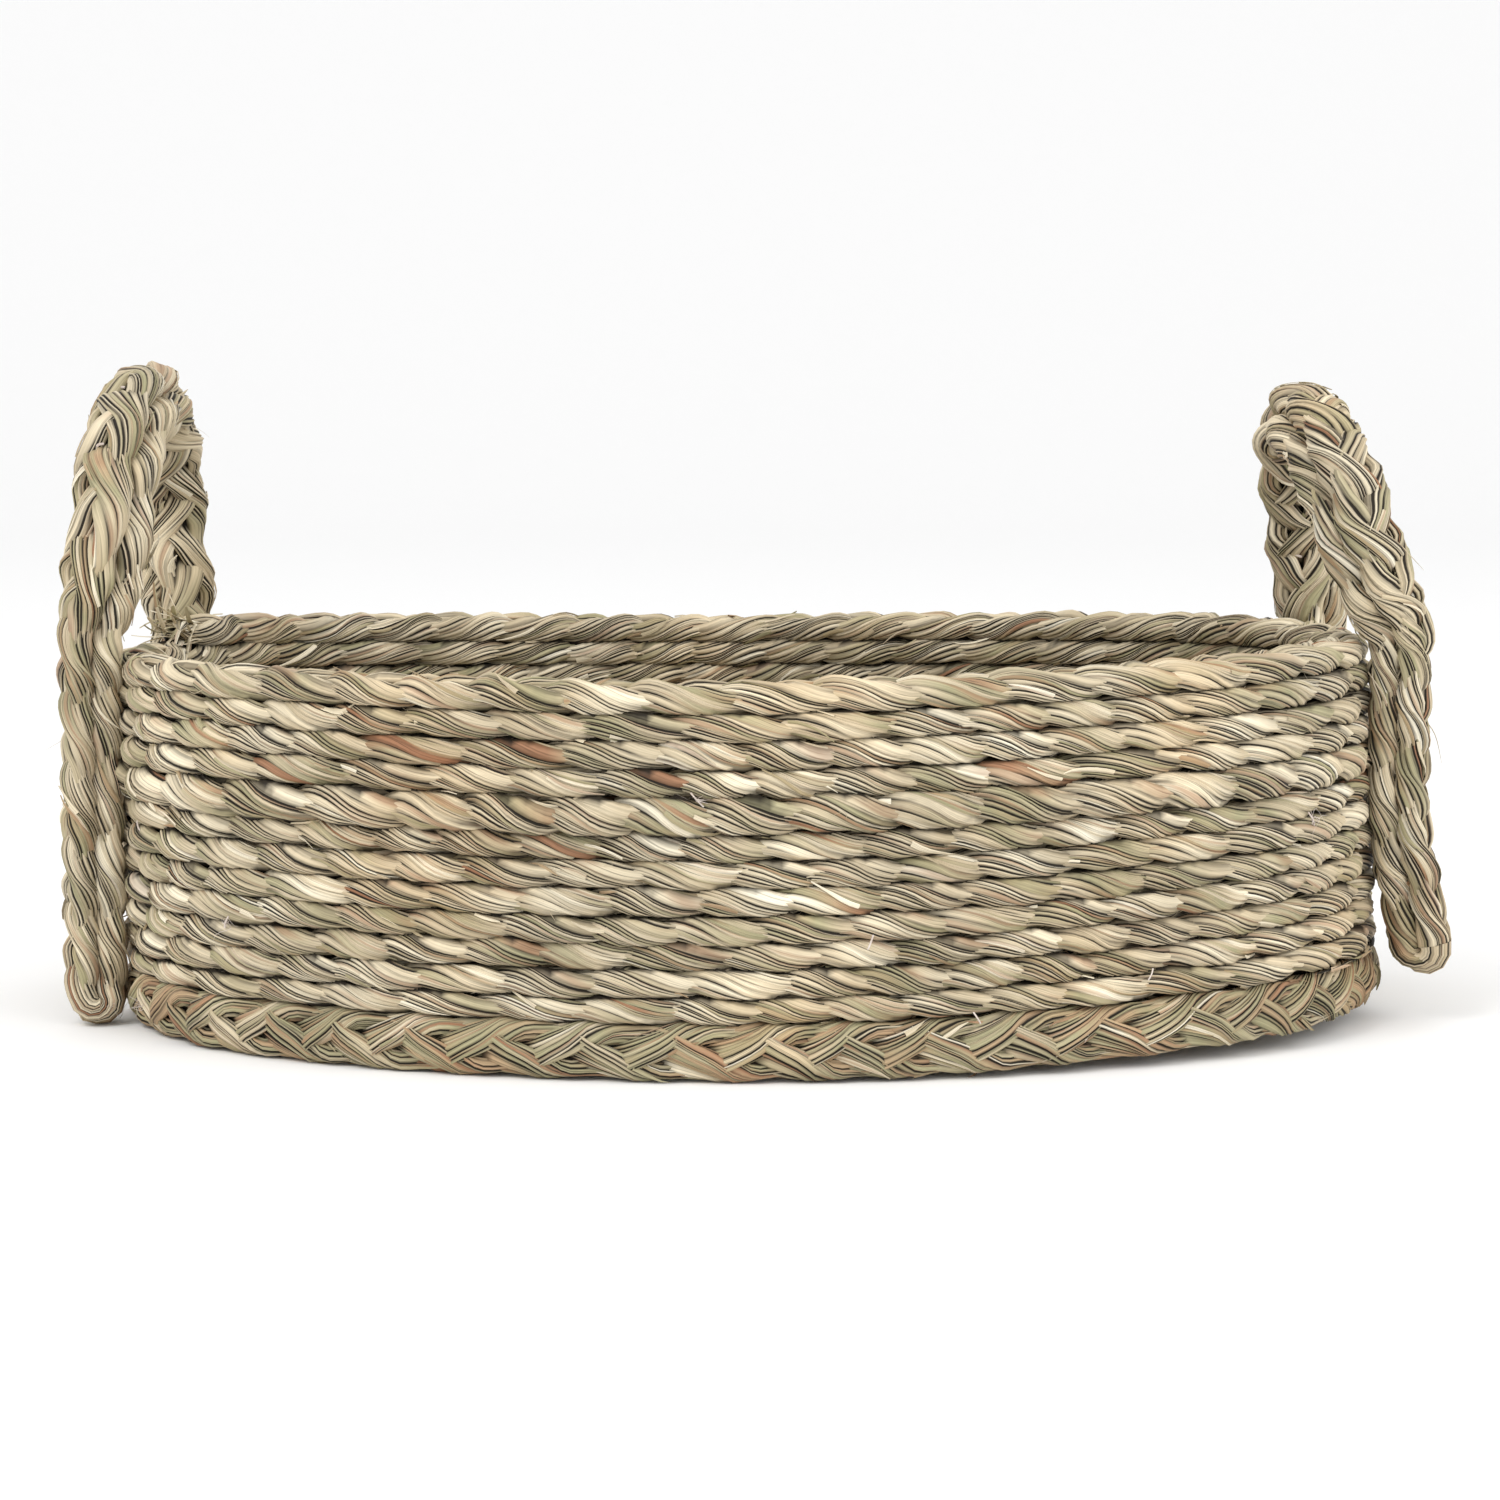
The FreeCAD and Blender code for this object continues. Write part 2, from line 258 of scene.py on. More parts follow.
def rows_of(grid, first, last):
    """The part of a grid between two rows."""
    cut = slice(first, last)
    return SimpleNamespace(
        point=grid.point[cut], tone=grid.tone[cut], depth=grid.depth[cut], grain=grid.grain[cut]
    )


# ---------------------------------------------------------------- strands and plaits


def outline(half_long, half_short):
    """Rounded-box section: position and normal around it, at even steps of its edge."""
    angle = np.linspace(0, 2 * np.pi, 361)
    power = 2 / 2.5
    long = half_long * np.sign(np.cos(angle)) * np.abs(np.cos(angle)) ** power
    short = half_short * np.sign(np.sin(angle)) * np.abs(np.sin(angle)) ** power
    gaps = np.hypot(np.diff(long), np.diff(short))
    share = np.concatenate([[0.0], np.cumsum(gaps)]) / gaps.sum()
    even = np.linspace(0, 1, 241)
    long = np.interp(even, share, long) / half_long
    short = np.interp(even, share, short) / half_short
    normal_long = np.gradient(short) * half_short
    normal_short = -np.gradient(long) * half_long
    size = np.hypot(normal_long, normal_short)
    return even, long, short, normal_long / size, normal_short / size


def blade_layout(rng, blades, perimeter):
    """Where the grooves, shoulders and crowns of the blades lie around a strand."""
    widths = 0.4 + rng.gamma(1.5, 0.6, blades)
    widths /= widths.sum()
    starts = np.concatenate([[0.0], np.cumsum(widths)[:-1]])
    shoulder = np.clip(GROOVE_WIDTH / (widths * perimeter), 0.05, 0.3)
    shares = np.stack([0 * shoulder, shoulder, 0 * shoulder + 0.5, 1 - shoulder], axis=1)
    around = (starts[:, None] + shares * widths[:, None]).ravel()
    return around, widths


def blade_heights(rng, distance, shape, widths):
    """How far the groove, shoulders and crown of each blade stand out, and how much painted shade
    darkens each of them.
    """
    heights = np.zeros((len(distance), shape.blades, 4))
    depth = np.zeros_like(heights)
    for blade in range(shape.blades):
        rise = drift(rng, distance, 0.045, BLADE_RISE)
        crown = BLADE_CROWN * widths[blade] * shape.blades
        lap = rng.choice([-1, 1]) * rng.uniform(0.05, 0.2) * MM
        level = rng.choice([0.1, 0.5, 0.8, 1.0])
        open_share = np.clip(level + drift(rng, distance, 0.035, 0.3), 0.05, 1.0)
        # Painted shade: the open groove is darkened most, its shoulders less.
        depth[:, blade, 0] = open_share
        depth[:, blade, 1] = 0.3 * open_share
        depth[:, blade, 3] = 0.3 * open_share
        heights[:, blade, 0] = -shape.groove * open_share
        heights[:, blade, 1] = rise + lap
        heights[:, blade, 2] = rise + crown
        heights[:, blade, 3] = rise - lap
    return heights.reshape(len(distance), -1), depth.reshape(len(distance), -1)


def blade_tones(rng, distance, blades):
    """A tone for each blade: they differ a little, a few of them a lot, and drift as they run."""
    tones = np.zeros((len(distance), blades))
    bunch = 0.54 + drift(rng, distance, 0.06, 0.11)
    for blade in range(blades):
        knots = np.cumsum(rng.uniform(0.02, 0.09, int(distance[-1] / 0.04) + 4)) - 0.1
        values = 0.12 * rng.standard_t(3, len(knots))
        tones[:, blade] = np.interp(distance, knots, values) + bunch
    return np.clip(tones, 0.0, 1.0)


def strand(rng, path, phase, shape, number):
    """One strand of a plait as a grid of points."""
    width, thickness = shape.width, shape.thickness
    flat_width = shape.strand_share * width
    flat_thickness = FLAT_SHARE * thickness
    edge_thickness = flat_width * flat_thickness / thickness
    swing = width / 2 - 0.47 * edge_thickness
    dip = shape.dip_share * thickness

    # Where the strand runs: from edge to edge, and over and under on its way.
    sideways = (np.sin(phase) - np.sin(3 * phase) / 9) * 0.9
    advance = np.cos(phase)
    over = (np.sin(2 * phase) + 0.25 * np.sin(4 * phase)) / 1.1
    lift = drift(rng, path.distance, 0.05, 0.03 * thickness)
    sway = drift(rng, path.distance, 0.07, 0.012 * width)
    centre = (
        path.point
        + path.across * (swing * sideways * path.size + sway)[:, None]
        + path.up * (dip * over * path.size + lift)[:, None]
    )

    # It stands on edge where it turns round an edge of the plait and lies flatter between.
    tilt = math.radians(shape.tilt) * np.tanh(1.8 * advance) / math.tanh(1.8)
    middle = np.exp(-((sideways / 0.3) ** 2)) * np.sign(advance)
    angle = np.pi / 2 + tilt + math.radians(shape.roll) * middle
    upright = np.sin(angle) ** 2
    swell = path.size * (1 + drift(rng, path.distance, 0.09, 0.06))
    half_long = (flat_width + (thickness - flat_width) * upright) / 2 * swell
    half_short = (flat_thickness + (edge_thickness - flat_thickness) * upright) / 2 * swell
    long_axis = path.across * np.cos(angle)[:, None] + path.up * np.sin(angle)[:, None]
    short_axis = path.up * np.cos(angle)[:, None] - path.across * np.sin(angle)[:, None]

    # The blades around it.
    around, widths = blade_layout(rng, shape.blades, 2 * (flat_width + flat_thickness))
    shares, long, short, normal_long, normal_short = outline(flat_width, flat_thickness)
    wander = drift(rng, path.distance, 0.11, 0.03) + rng.uniform()
    position = (around[None, :] + wander[:, None]) % 1.0
    heights, depth = blade_heights(rng, path.distance, shape, widths)
    heights = heights * path.size[:, None]
    along_long = np.interp(position, shares, long) * half_long[:, None]
    along_short = np.interp(position, shares, short) * half_short[:, None]
    wrap = shape.wrap * sideways * upright
    along_short += wrap[:, None] * along_long**2
    along_long += np.interp(position, shares, normal_long) * heights
    along_short += np.interp(position, shares, normal_short) * heights
    point = (
        centre[:, None, :]
        + long_axis[:, None, :] * along_long[..., None]
        + short_axis[:, None, :] * along_short[..., None]
    )

    tone = np.repeat(blade_tones(rng, path.distance, shape.blades), 4, axis=1)
    across, through = in_plait(sideways * swing, dip * over, along_long, along_short, angle)
    size = path.size[:, None]
    across, through = across / (width * size / 2), through / (thickness * size / 2)
    # Painted shade, dark deep inside the plait and where two turns meet, but not on top of the last
    # turn.
    sunk_shade = smooth((0.8 - np.maximum(np.abs(across), np.abs(through))) / 0.4)
    depth = np.maximum(depth, 0.5 * sunk_shade)
    seam_shade = shape.crease * smooth((np.abs(through) - 0.92) / 0.14)
    seam_shade *= (path.turn < TURN_COUNT - 1)[:, None] | (through < 0)
    depth = np.maximum(depth, seam_shade)
    grain = np.zeros(point.shape)
    grain[..., 0] = path.distance[:, None]
    grain[..., 1] = np.arange(tone.shape[1])[None, :] / 4
    grain[..., 2] = number
    return SimpleNamespace(point=point, tone=tone, depth=depth, grain=grain, centre=centre)


def in_plait(sideways, over, along_long, along_short, angle):
    """Where the points of a strand lie in the plait's own section."""
    cosine, sine = np.cos(angle)[:, None], np.sin(angle)[:, None]
    across = sideways[:, None] + along_long * cosine - along_short * sine
    through = over[:, None] + along_long * sine + along_short * cosine
    return across, through


def close_ends(grid):
    """Draws both ends of an open strand to a point."""
    for end in (0, -1):
        grid.point[end] = grid.centre[end]
    return grid


def plait(seed, path, shape, periods=None):
    """Three strands. On the face that up points out of, they run from middle to edges."""
    rng = np.random.default_rng(seed)
    length = path.distance[-1]
    turns = periods or length / shape.period
    ends = np.sin(np.pi * np.clip(path.distance / length, 0, 1)) ** 0.25
    wander = drift(rng, path.distance, 0.35, 0.45) + drift(rng, path.distance, 0.12, 0.12)
    phase = 2 * np.pi * turns * path.distance / length + wander * ends
    strands = []
    for number in range(3):
        strands.append(strand(rng, path, phase + 2 * np.pi * number / 3, shape, seed + number))
    return strands


def plait_shape(width, thickness, period, blades, tilt=54.0, strand_share=0.66, crease=0.0):
    return SimpleNamespace(
        width=width,
        thickness=thickness,
        period=period,
        blades=blades,
        strand_share=strand_share,
        crease=crease,
        tilt=tilt,
        roll=18.0,
        dip_share=0.22,
        wrap=90.0,
        groove=0.55 * MM,
    )


# ---------------------------------------------------------------- paths of the body


def oval(angle, half_length, half_width, end_radius):
    """Points of a four-arc oval whose outward direction is the given angle from +X."""
    reach = half_length - end_radius
    side_radius = (reach**2 + half_width**2 - end_radius**2) / (2 * (half_width - end_radius))
    drop = side_radius - half_width
    cosine, sine = np.cos(angle), np.sin(angle)
    on_end = np.arctan2(np.abs(sine), np.abs(cosine)) < np.arctan2(drop, reach)
    radius = np.where(on_end, end_radius, side_radius)
    x = np.where(on_end, np.sign(cosine) * reach, 0.0) + radius * cosine
    y = np.where(on_end, 0.0, -np.sign(sine) * drop) + radius * sine
    return np.stack([x, y, np.zeros_like(x)], axis=1)


def outward(angle):
    return np.stack([np.cos(angle), np.sin(angle), np.zeros_like(angle)], axis=1)


def upward(count):
    return np.tile([0.0, 0.0, 1.0], (count, 1))


def around(turn):
    """Outward direction after some turns from the left end, by way of the front."""
    return np.pi + 2 * np.pi * turn


def thickening(turn):
    return THICK_TURN_SHARE * np.exp(-(((turn - THICK_TURN) / THICK_TURN_SPREAD) ** 2))


def wall_height(turn):
    """Height of the middle of the wall plait, which climbs over its own earlier turns."""
    total = TURN_RISE * len(COURSES) - THICK_TURN_SHARE * PLAIT_THICKNESS
    height = FOOT_HEIGHT + FIRST_TURN_RISE + total / len(COURSES) * turn
    for below in range(len(COURSES)):
        pair = thickening(turn - below) + thickening(turn - below - 1)
        height = height + PLAIT_THICKNESS * pair / 2
    return height


def wall_path():
    """A climbing spiral on the foot; it is tapered at its start and drawn in at its end."""
    turn = np.linspace(-START_TURN, TURN_COUNT, (len(COURSES) + 1) * POINTS_PER_TURN)
    room = wall_height(turn + 1) - PLAIT_THICKNESS / 2 - FOOT_HEIGHT
    start = np.clip(room / PLAIT_THICKNESS, 0.05, 1.0)
    finish = smooth((TURN_COUNT - turn) / 0.02) * 0.35 + 0.65
    upper = np.clip(2 * turn / TURN_COUNT - 1, 0, 1)
    inset = PLAIT_WIDTH / 2 * start + RIM_TUCK * upper**2
    lowest = FOOT_HEIGHT + PLAIT_THICKNESS / 2 * start
    point = oval(around(turn), HALF_LENGTH, HALF_WIDTH, END_RADIUS)
    point -= outward(around(turn)) * inset[:, None]
    point[:, 2] = np.maximum(lowest, wall_height(turn))
    path = SimpleNamespace(
        point=point, across=outward(around(turn)), up=upward(len(turn)), turn=turn
    )
    path = resample(path, WALL_STEP)
    rng = np.random.default_rng(11)
    bulge = drift(rng, path.distance, 1.3, 0.5 * MM) + drift(rng, path.distance, 0.3, 0.3 * MM)
    path.point += path.across * bulge[:, None]
    path.point[:, 2] += drift(rng, path.distance, 0.23, 0.22 * MM)
    path.size = np.interp(path.turn, turn, start * finish) * (1 + thickening(path.turn))
    return path


def foot_path():
    """One closed turn of the plait, on its edge."""
    turn = np.linspace(0.0, 1.0, POINTS_PER_TURN)
    point = oval(around(turn), HALF_LENGTH, HALF_WIDTH, END_RADIUS)
    point -= outward(around(turn)) * PLAIT_THICKNESS / 2
    point[:, 2] = FOOT_HEIGHT / 2
    path = SimpleNamespace(
        point=point, across=upward(len(turn)), up=outward(around(turn)), turn=turn
    )
    path = resample(path, WALL_STEP)
    path.size = np.ones_like(path.distance)
    return path


def base_path():
    """A flat spiral from the foot inwards; its tapered start fills the wedge beside the foot."""
    turn = np.linspace(-0.95, len(BASE_TURNS), (len(BASE_TURNS) + 1) * POINTS_PER_TURN)
    size = np.minimum(turn + 1, 1.0)
    inset = PLAIT_WIDTH / 2 * size + BASE_PITCH * np.maximum(turn, 0.0)
    half_width = base_high.y - inset
    half_length = base_high.x - inset
    end_radius = (END_RADIUS + base_high.y - HALF_WIDTH) * half_width / base_high.y
    point = oval(around(turn), half_length, half_width, end_radius)
    point[:, 2] = (base_low.z + base_high.z) / 2
    path = SimpleNamespace(
        point=point, across=outward(around(turn)), up=upward(len(turn)), turn=turn
    )
    path = resample(path, BASE_STEP)
    path.size = np.interp(path.turn, turn, size)
    return path


def base_start_path():
    """The inmost stretch of the base plait, out and back beside itself."""
    half = (start_high.x - start_low.x) / 2
    offset = (start_high.y - start_low.y) / 4
    overhang = PLAIT_WIDTH / 3
    reach = half - offset - overhang
    bend = np.linspace(-np.pi / 2, np.pi / 2, 40)
    out = np.linspace(-reach - overhang, reach, OUT_POINTS)
    away = np.full(OUT_POINTS, offset)
    x = np.concatenate([out, reach + offset * np.cos(bend), out[::-1]])
    y = np.concatenate([-away, offset * np.sin(bend), away])
    z = np.full(len(x), (start_low.z + start_high.z) / 2)
    point = np.stack([x, y, z], axis=1)
    outwards = np.full(OUT_POINTS, np.pi / 2)
    side = np.concatenate([-outwards, bend, outwards])
    path = SimpleNamespace(point=point, across=outward(side), up=upward(len(x)), turn=x * 0)
    path = resample(path, BASE_STEP)
    path.size = np.ones_like(path.distance)
    return path


# ---------------------------------------------------------------- path of a handle


def belt_middle(end):
    """Middle line of a doubled handle, from the front leg's foot over the crown to the back's.

    In the frame of the end arc: X outward through the middle of the handle.
    """
    leg_low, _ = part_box(f"{end}_handle_front_leg")
    spring = CROWN_HEIGHT[end] - LEG_Y
    fold = leg_low.z + LAYER_OFFSET + STRAP_THICKNESS / 2
    climb = np.linspace(fold, spring, CLIMB_POINTS)
    turned = np.linspace(0.0, np.pi, CLIMB_POINTS)
    ahead = np.zeros(CLIMB_POINTS)
    side = np.concatenate([ahead + np.pi, np.pi - turned, ahead])
    level = np.concatenate([climb, ahead + spring, climb[::-1]])
    out = np.stack([np.zeros_like(side), np.cos(side), np.sin(side)], axis=1)
    point = np.stack([np.full_like(side, LEG_X), np.zeros_like(side), level], axis=1)
    point = point + out * LEG_Y
    height = point[:, 2]
    if end == "right":
        point[:, 0] += LEG_SPLAY * smooth(1 - height / LEG_SPLAY_HEIGHT)
    share = smooth((height - FLEX_HEIGHT + FLEX_REACH) / TWIST_RISE)
    twist = LEG_TWIST + (CROWN_TWIST - LEG_TWIST) * share
    normal = out * np.cos(twist)[:, None]
    normal[:, 0] += np.sin(twist)
    point[:, 0] += point[:, 1] * math.sin(ARCH_TURN) * share
    bend = LEAN[end] * smooth((height - FLEX_HEIGHT + FLEX_REACH) / (2 * FLEX_REACH))
    pivot = np.array([LEG_X, 0.0, FLEX_HEIGHT])
    return tilt_back(point - pivot, bend) + pivot, tilt_back(normal, bend)


def tilt_back(vectors, angle):
    """Turn about Y, towards the inside of the basket."""
    x = vectors[:, 0] * np.cos(angle) - vectors[:, 2] * np.sin(angle)
    z = vectors[:, 0] * np.sin(angle) + vectors[:, 2] * np.cos(angle)
    return np.stack([x, vectors[:, 1], z], axis=1)


def handle_path(end):
    """Once round the doubled plait: over the outer layer, and back under the inner one."""
    middle, normal = belt_middle(end)
    tangent = unit(np.gradient(middle, axis=0))
    normal = unit(normal - tangent * np.sum(normal * tangent, axis=1, keepdims=True))
    if end == "left":  # its plait runs the other way
        middle, normal, tangent = middle[::-1], normal[::-1], -tangent[::-1]
    free = smooth((middle[:, 2:] - SPREAD_START) / SPREAD_RISE)
    spread = 1 + (ARCH_SPREAD - 1) * free
    turn = np.linspace(0, np.pi, FOLD_POINTS)[:, None]
    last_fold = normal[-1] * np.cos(turn) + tangent[-1] * np.sin(turn)
    first_fold = -normal[0] * np.cos(turn) - tangent[0] * np.sin(turn)
    point = [
        middle + normal * LAYER_OFFSET * spread,
        middle[-1] + last_fold * LAYER_OFFSET,
        middle[::-1] - normal[::-1] * LAYER_OFFSET * spread[::-1],
        middle[0] + first_fold * LAYER_OFFSET,
    ]
    side = np.cross(tangent, normal)
    ones = np.ones((FOLD_POINTS, 1))
    path = SimpleNamespace(
        point=np.concatenate(point),
        up=np.concatenate([normal, last_fold, -normal[::-1], first_fold]),
        across=np.concatenate([side, ones * side[-1], side[::-1], ones * side[0]]),
    )
    path.turn = np.linspace(0, 1, len(path.point))
    keep = np.concatenate([[True], np.linalg.norm(np.diff(path.point, axis=0), axis=1) > 1e-7])
    path = SimpleNamespace(**{key: value[keep] for key, value in vars(path).items()})
    for key in ("point", "up", "across"):
        setattr(path, key, to_basket(getattr(path, key), end, key == "point"))
    path = resample(path, HANDLE_STEP)
    path.size = 1 + (ARCH_SPREAD - 1) * smooth((path.point[:, 2] - SPREAD_START) / SPREAD_RISE)
    return path


def to_basket(vectors, end, is_point):
    """From the frame of the end arc to the basket's frame."""
    x = vectors[:, 0] * math.cos(HANDLE_YAW) - vectors[:, 1] * math.sin(HANDLE_YAW)
    y = vectors[:, 0] * math.sin(HANDLE_YAW) + vectors[:, 1] * math.cos(HANDLE_YAW)
    if is_point:
        x = x + HALF_LENGTH - END_RADIUS
    if end == "left":
        x = -x
    return np.stack([x, y, vectors[:, 2]], axis=1)


# ---------------------------------------------------------------- loose blades and thread


def ribbon(rng, line, beside, half, middle, run, dullest):
    """A leaf along a line, its middle raised; run is the distance along it."""
    edges = [line - beside * half[:, None], middle, line + beside * half[:, None]]
    point = np.stack(edges, axis=1)
    grain = np.zeros(point.shape)
    grain[..., 0] = run[:, None]
    grain[..., 1] = np.array([0.1, 0.5, 0.9])[None, :]
    grain[..., 2] = rng.uniform(0, 100)
    tone = np.full(point.shape[:2], rng.uniform(dullest, 1.0))
    return SimpleNamespace(point=point, tone=tone, depth=np.zeros(point.shape[:2]), grain=grain)


def loose_blades(rng, strands, count, length=(3, 8), rise=1.6 * MM):
    """Leaf tips that follow a strand and lift off it at one end."""
    grids = []
    for _ in range(count):
        grid = strands[rng.integers(3)]
        rows, ring = grid.point.shape[:2]
        steps = int(rng.integers(*length))
        first = int(rng.integers(2, rows - steps - 3))
        column = int(rng.integers(ring // 4)) * 4 + 2
        points = grid.point[first : first + steps, column]
        outwards = unit(points - grid.centre[first : first + steps])
        along = unit(np.gradient(points, axis=0))
        beside = unit(np.cross(along, outwards))
        share = np.linspace(0, 1, steps)
        if rng.uniform() < 0.5:
            share = share[::-1]
        lift = 0.15 * MM + rise * rng.uniform(0.2, 1.0) * share**2.5
        lifted = points + outwards * lift[:, None]
        lifted = lifted + beside * (rng.uniform(-1.5, 1.5) * MM * share**2)[:, None]
        half = rng.uniform(0.4, 0.9) * MM * (1 - 0.8 * share**3)
        curl = rng.uniform(0.15, 0.5) * MM
        middle = lifted + outwards * curl
        grids.append(ribbon(rng, lifted, beside, half, middle, share * steps * 2 * MM, 0.1))
    return grids


def cut_end(rng, point, along, across, up, count):
    """The cut leaves at the end of a plait, each curling its own way."""
    grids = []
    for _ in range(count):
        start = point + across * rng.uniform(-0.45, 0.45) * PLAIT_WIDTH
        start = start + up * rng.uniform(-0.3, 0.5) * PLAIT_THICKNESS
        direction = unit(along + across * rng.normal(0, 0.35) + up * rng.normal(0.15, 0.3))
        beside = unit(np.cross(direction, up))
        bend = np.cross(beside, direction)
        share = np.linspace(0, 1, 7)
        length = rng.uniform(5, 17) * MM
        curl = rng.normal(0, 5) * MM
        line = start + direction * (length * share)[:, None] + bend * (curl * share**2)[:, None]
        half = rng.uniform(0.5, 1.1) * MM * (1 - 0.5 * share**3)
        middle = line + bend * 0.3 * MM
        grids.append(ribbon(rng, line, beside, half, middle, length * share, 0.2))
    return grids


def fibre(rng, start, direction, length, radius, curl):
    """A thin curved thread or leaf fibre as a three-sided tube."""
    steps = 7
    share = np.linspace(0, 1, steps)
    bend = unit(np.cross(direction, rng.normal(size=3)))
    other = np.cross(direction, bend)
    line = start + direction * (share * length)[:, None]
    line = line + bend * (curl * share**2)[:, None]
    line = line + other * (0.4 * curl * np.sin(5 * share))[:, None]
    corner = np.arange(3) * 2 * np.pi / 3
    ring = bend * np.cos(corner)[:, None] + other * np.sin(corner)[:, None]
    point = line[:, None, :] + ring[None] * (radius * (1 - 0.7 * share**2))[:, None, None]
    grain = np.zeros(point.shape)
    grain[..., 0] = share[:, None] * length
    grain[..., 2] = rng.uniform(0, 100)
    tone = np.full(point.shape[:2], rng.uniform(0.2, 1.0))
    return SimpleNamespace(point=point, tone=tone, depth=np.zeros(point.shape[:2]), grain=grain)


def stray_fibres(rng, strands, count, length=(5 * MM, 15 * MM)):
    """Thin fibres that start on a strand and run along it."""
    grids = []
    for _ in range(count):
        grid = strands[rng.integers(3)]
        rows, ring = grid.point.shape[:2]
        row, column = int(rng.integers(2, rows - 4)), int(rng.integers(ring))
        start = grid.point[row, column]
        out = unit(start - grid.centre[row])
        along = unit(grid.centre[row + 1] - grid.centre[row]) * rng.choice([-1, 1])
        direction = unit(along + out * rng.uniform(0.05, 0.5) + rng.normal(0, 0.2, 3))
        radius = rng.uniform(0.08, 0.2) * MM
        reach = rng.uniform(*length)
        grids.append(fibre(rng, start, direction, reach, radius, rng.normal(0, 3 * MM)))
    return grids


def tuft(rng, start, out, count=10, length=6 * MM):
    """A knot of sewing thread with its cut ends."""
    grids = []
    for _ in range(count):
        direction = unit(out + rng.normal(0, 0.8, 3))
        reach = length * rng.uniform(0.3, 1.0)
        origin = start + rng.normal(0, 0.3 * MM, 3)
        grids.append(fibre(rng, origin, direction, reach, 0.11 * MM, rng.normal(0, 3 * MM)))
    return grids


def stitch(rng, start, end, out, rise, radius=0.45 * MM):
    """A bar of thread from one point to another that bows outwards."""
    steps, sides = 9, 6
    share = np.linspace(0, 1, steps)
    line = start + (end - start) * share[:, None]
    line = line + out * (rise * np.sin(np.pi * share))[:, None]
    along = unit(np.gradient(line, axis=0))
    first = unit(np.cross(along, out))
    second = np.cross(along, first)
    corner = np.arange(sides) * 2 * np.pi / sides
    ring = (
        first[:, None, :] * np.cos(corner)[None, :, None]
        + second[:, None, :] * np.sin(corner)[None, :, None]
    )
    point = line[:, None, :] + ring * radius
    grain = np.zeros(point.shape)
    grain[..., 0] = (share * np.linalg.norm(end - start))[:, None]
    grain[..., 1] = (corner / (2 * np.pi))[None, :]
    grain[..., 2] = rng.uniform(0, 100)
    tone = np.full(point.shape[:2], rng.uniform(0, 1))
    return SimpleNamespace(point=point, tone=tone, depth=np.zeros(point.shape[:2]), grain=grain)


# ---------------------------------------------------------------- materials


def new_material(name):
    """A material with its node tree and its shader."""
    material = bpy.data.materials.new(name)
    material.use_nodes = True
    tree = material.node_tree
    return material, tree, tree.nodes["Principled BSDF"]


def add(tree, kind, **settings):
    node = tree.nodes.new(kind)
    for key, value in settings.items():
        setattr(node, key, value)
    return node


def attribute(tree, name, output):
    return add(tree, "ShaderNodeAttribute", attribute_name=name).outputs[output]


def mixed(tree, factor, first, second, blend="MIX"):
    """A colour mix; factor, first and second are sockets or values."""
    node = add(tree, "ShaderNodeMix", data_type="RGBA", blend_type=blend)
    for socket, value in zip((0, 6, 7), (factor, first, second)):
        if isinstance(value, bpy.types.NodeSocket):
            tree.links.new(value, node.inputs[socket])
        else:
            node.inputs[socket].default_value = value
    return node.outputs[2]


def ramp(tree, factor, stops):
    node = add(tree, "ShaderNodeValToRGB")
    elements = node.color_ramp.elements
    while len(elements) < len(stops):
        elements.new(0.5)
    for element, (position, colour) in zip(elements, stops):
        element.position = position
        element.color = (*colour, 1.0)
    tree.links.new(factor, node.inputs[0])
    return node.outputs[0]


def noise(tree, vector, scale, detail, stretch=(1.0, 1.0, 1.0)):
    mapping = add(tree, "ShaderNodeMapping")
    mapping.inputs["Scale"].default_value = stretch
    tree.links.new(vector, mapping.inputs["Vector"])
    texture = add(tree, "ShaderNodeTexNoise")
    texture.inputs["Scale"].default_value = scale
    texture.inputs["Detail"].default_value = detail
    tree.links.new(mapping.outputs[0], texture.inputs["Vector"])
    return texture.outputs["Fac"]


def grey(value):
    return (value, value, value)


def add_bump(tree, shader, height, strength, distance):
    bump = add(tree, "ShaderNodeBump")
    bump.inputs["Strength"].default_value = strength
    bump.inputs["Distance"].default_value = distance
    tree.links.new(height, bump.inputs["Height"])
    tree.links.new(bump.outputs[0], shader.inputs["Normal"])


